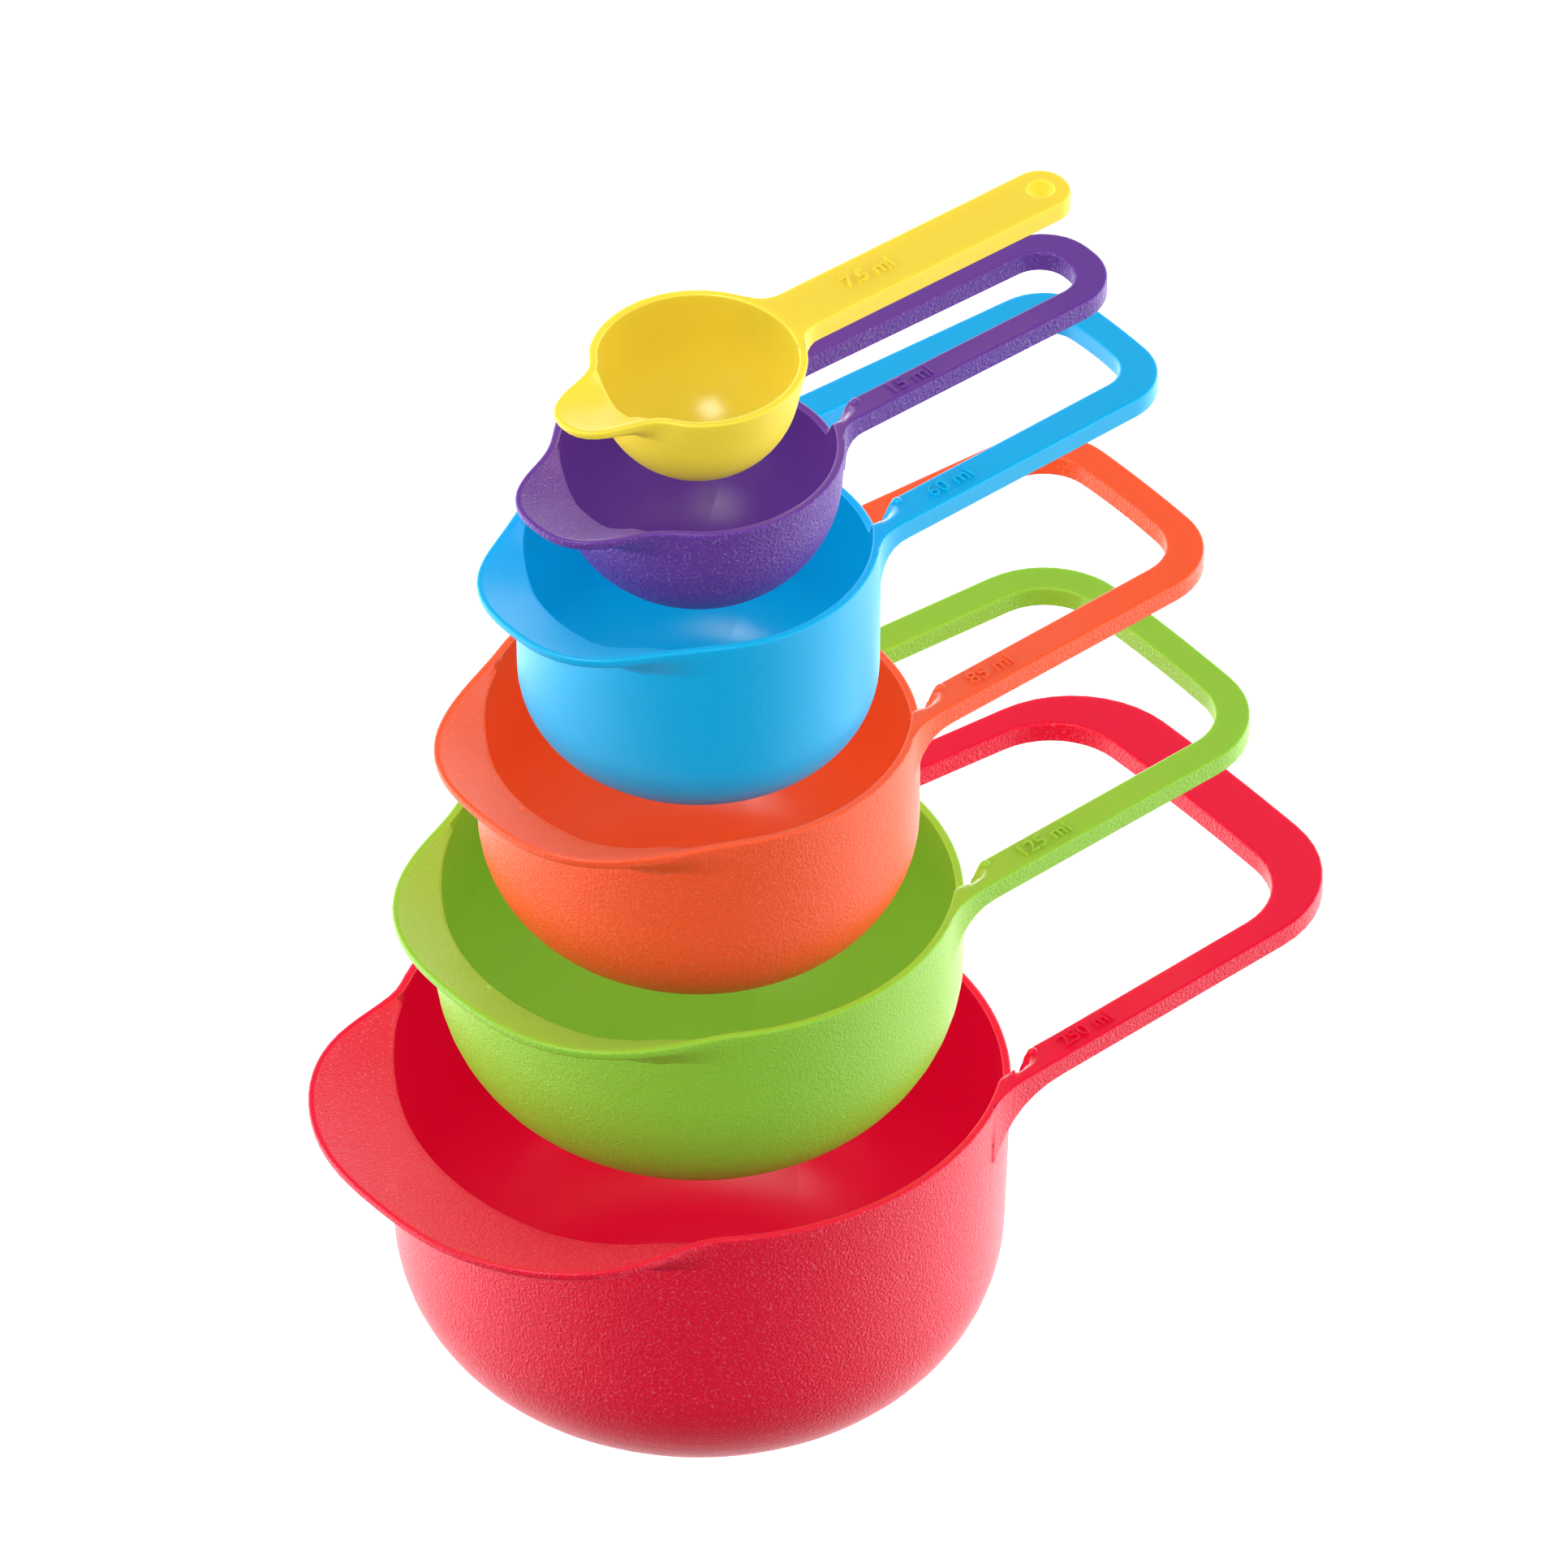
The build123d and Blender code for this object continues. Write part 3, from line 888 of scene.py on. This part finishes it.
class CupColours(bpy.types.PropertyGroup):
    """Colour of each cup's plastic."""

    red_plastic: colour("250 ml", "Colour of the 250 ml cup", (0.78, 0.001, 0.035))
    green_plastic: colour("125 ml", "Colour of the 125 ml cup", (0.27, 0.55, 0.035))
    orange_plastic: colour("85 ml", "Colour of the 85 ml cup", (0.92, 0.10, 0.022))
    blue_plastic: colour("60 ml", "Colour of the 60 ml cup", (0.0, 0.42, 0.76))
    purple_plastic: colour("15 ml", "Colour of the 15 ml cup", (0.125, 0.036, 0.31))
    yellow_plastic: colour("7.5 ml", "Colour of the 7.5 ml cup", (0.9, 0.69, 0.05))


# ---------------------------------------------------------------- operators

def cup_choice(description):
    return bpy.props.StringProperty(name="Cup", description=description, default="cup_250ml")


class CUPS_OT_mould(bpy.types.Operator):
    """Mould one cup: bowl, pouring lip and handle in one piece"""

    bl_idname = "cups.mould"
    bl_label = "Mould a cup"
    node: cup_choice("Node that the cup stands for")

    def execute(self, context):
        piece = mould_cup(context, self.node)
        slot = CUP_SHAPES[self.node]["slot"]
        piece.data.materials.append(cup_material(context, slot))
        piece.visible_shadow = False    # every cup is lit as if it hung alone
        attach(piece, self.node)
        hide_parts(self.node)
        return {"FINISHED"}


class CUPS_OT_mark(bpy.types.Operator):
    """Raise the capacity mark on a cup's handle"""

    bl_idname = "cups.mark"
    bl_label = "Raise a capacity mark"
    node: cup_choice("Cup that carries the mark")

    def execute(self, context):
        mould = context.scene.cup_mould
        form = cup_form(context, self.node)
        side = -(half_width_at(form, form.mark_x) - form.arm / 2) if form.arm else 0.0
        place = (form.mark_x * MM, side * MM, form.rim * MM - MARK_DEPTH)
        slot = form.slot
        piece = grown_piece("mark_" + self.node, [(0, 0, 0)], mark_tree(), {
            "Text": form.mark, "Letter size": mould.letter_size, "Relief": mould.relief + MARK_DEPTH,
            "Place": place, "Turn": (0.0, 0.0, atan(form.taper)), "Plastic": cup_material(context, slot)})
        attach(piece, self.node)
        return {"FINISHED"}


class CUPS_OT_nubs(bpy.types.Operator):
    """Set the small snap nubs on the handle arms, and the pip on the lip where there is one"""

    bl_idname = "cups.nubs"
    bl_label = "Set the snap nubs"
    node: cup_choice("Cup that carries the nubs")

    def execute(self, context):
        ball = context.scene.cup_mould.nub_radius
        radius = ball / MM
        form = cup_form(context, self.node)
        x = side_crossing(form, form.arm, form.radius)[0] + NOTCH_RAMP
        y = half_width_at(form, x) - form.arm + NUB_SIDE_DEPTH * radius
        z = form.rim - NUB_TOP_DEPTH * radius
        points = [(x, y, z), (x, -y, z)]
        if form.pip_share:
            run = form.lip_reach - LIP_MARGIN - form.radius + form.wall
            height = form.pip_share * (1 - LIP_TOE_INSIDE / 2) + LIP_TOE_INSIDE / 2
            pip_x = form.radius - form.wall + form.pip_share * run
            slope_z = form.rim - form.lip_slope * (1 - height)
            points.append((-pip_x, 0.0, slope_z - PIP_DEPTH * radius))
        piece = grown_piece("nubs_" + self.node, np.array(points) * MM, nub_tree(), {
            "Ball radius": ball, "Plastic": cup_material(context, form.slot)})
        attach(piece, self.node)
        return {"FINISHED"}


# Directions of the bright surroundings: away from the camera, and to its right
BACK_WALL = (0.62, 0.78, 0.0)
RIGHT_WALL = (0.78, -0.62, 0.0)
UPWARD = (0.0, 0.0, 1.0)
DIM_ROOM = (0.12, 0.12, 0.12, 1)
WHITE_WALL = (4.5, 4.5, 4.5, 1)
STAGE_MIDDLE = (0.01, 0.0, 0.1)
BOX_POWER = 4.6          # watts
FILL_POWER = 7.4
FLOOR_HALF = 3.0         # metres
PAPER_WHITE = (0.93, 0.93, 0.93, 1)
PAPER_GLOW = 0.55


class CUPS_OT_stage(bpy.types.Operator):
    """Lay the pale floor and set the soft lights and the camera"""

    bl_idname = "cups.stage"
    bl_label = "Set the stage"

    def execute(self, context):
        build_floor()
        light_stage()
        aim_camera(context)
        return {"FINISHED"}


def build_floor():
    """A wide sheet of white paper under the cups, lit a little from within."""
    half = FLOOR_HALF
    mesh = bpy.data.meshes.new("floor")
    corners = [(-half, -half, 0), (half, -half, 0), (half, half, 0), (-half, half, 0)]
    mesh.from_pydata(corners, [], [(0, 1, 2, 3)])
    floor = bpy.data.objects.new("floor", mesh)
    bpy.context.scene.collection.objects.link(floor)
    material = bpy.data.materials.new("white_floor")
    material.use_nodes = True
    shader = material.node_tree.nodes["Principled BSDF"]
    shader.inputs["Base Color"].default_value = PAPER_WHITE
    shader.inputs["Roughness"].default_value = 0.8
    shader.inputs["Emission Color"].default_value = (1, 1, 1, 1)
    shader.inputs["Emission Strength"].default_value = PAPER_GLOW
    mesh.materials.append(material)
    floor.visible_diffuse = floor.visible_glossy = False    # the paper tints no cup from below


def soft_box(name, place, size, power):
    """A large rectangular light that faces the middle of the stage."""
    data = bpy.data.lights.new(name, "AREA")
    data.shape, data.size, data.size_y, data.energy = "RECTANGLE", size[0], size[1], power
    lamp = bpy.data.objects.new(name, data)
    lamp.location = place
    lamp.rotation_euler = (Vector(STAGE_MIDDLE) - Vector(place)).to_track_quat("-Z", "Y").to_euler()
    bpy.context.scene.collection.objects.link(lamp)
    return lamp


def light_stage():
    """White paper low behind and beside the cups, a dim room, a soft box above and two fill lights."""
    world = bpy.data.worlds.new("studio")
    world.use_nodes = True
    tree = Tree(world.node_tree)
    direction = tree.node("ShaderNodeTexCoord", out=0)
    behind, beside, upward = (
        tree.node("ShaderNodeVectorMath", {"operation": "DOT_PRODUCT"}, direction, axis, out=1)
        for axis in (BACK_WALL, RIGHT_WALL, UPWARD))
    sides = (beside.math("ABSOLUTE", beside) * 1.1 - 0.55).clamp(0, 1)    # both side walls
    low = (1 - upward * 2).clamp(0, 1)    # walls fade out 30 degrees up
    light = tree.blend((behind.clamp(0, 1) + sides).clamp(0, 1) * low, DIM_ROOM, WHITE_WALL)
    tree.tree.links.new(light.output, world.node_tree.nodes["Background"].inputs["Color"])
    scene = bpy.context.scene
    scene.world = world
    scene.view_settings.view_transform = "Standard"
    soft_box("box_above", (-0.25, 0.05, 1.1), (0.42, 0.34), BOX_POWER)
    for name, place in (("fill_right", (0.42, -0.91, 0.45)), ("fill_left", (-0.98, 0.21, 0.45))):
        soft_box(name, place, (0.6, 0.6), FILL_POWER).visible_glossy = False


def aim_camera(context):
    """A long lens looking down over the lips towards the handles."""
    azimuth, elevation = radians(-38.5), radians(39.0)
    target = Vector((0.0245, 0.0108, 0.0837))
    toward = Vector((sin(azimuth) * cos(elevation), -cos(azimuth) * cos(elevation), sin(elevation)))
    data = bpy.data.cameras.new("camera")
    data.lens = 1000.0
    width = 0.2295    # metres in view at the target
    distance = width * data.lens / data.sensor_width
    camera = bpy.data.objects.new("camera", data)
    camera.location = target + toward * distance
    camera.rotation_euler = (-toward).to_track_quat("-Z", "Y").to_euler()
    context.scene.collection.objects.link(camera)
    context.scene.camera = camera


class CUPS_PT_sidebar(bpy.types.Panel):
    """Sidebar page that lists the cups' settings and steps"""

    bl_label = "Measuring cups"
    bl_idname = "CUPS_PT_sidebar"
    bl_space_type = "VIEW_3D"
    bl_region_type = "UI"
    bl_category = "Measuring cups"

    def draw(self, context):
        layout = self.layout
        for settings in (context.scene.cup_mould, context.scene.cup_colours):
            box = layout.box()
            for name in settings.__annotations__:
                box.prop(settings, name)
        for operator in (CUPS_OT_mould, CUPS_OT_mark, CUPS_OT_nubs):
            column = layout.column(align=True)
            for node, shape in CUP_SHAPES.items():
                label = f"{operator.bl_label}: {shape['mark']}"
                column.operator(operator.bl_idname, text=label).node = node
        layout.operator(CUPS_OT_stage.bl_idname)


CLASSES = (CupMould, CupColours, CUPS_OT_mould, CUPS_OT_mark, CUPS_OT_nubs, CUPS_OT_stage,
           CUPS_PT_sidebar)


def register():
    for cls in CLASSES:
        bpy.utils.register_class(cls)
    bpy.types.Scene.cup_mould = bpy.props.PointerProperty(type=CupMould)
    bpy.types.Scene.cup_colours = bpy.props.PointerProperty(type=CupColours)


def unregister():
    del bpy.types.Scene.cup_colours
    del bpy.types.Scene.cup_mould
    for cls in reversed(CLASSES):
        bpy.utils.unregister_class(cls)


def main():
    register()
    bpy.ops.cups.stage()
    for node, shape in CUP_SHAPES.items():
        bpy.ops.cups.mould(node=node)
        bpy.ops.cups.mark(node=node)
        if "notch" in shape:
            bpy.ops.cups.nubs(node=node)


if __name__ == "__main__":
    main()
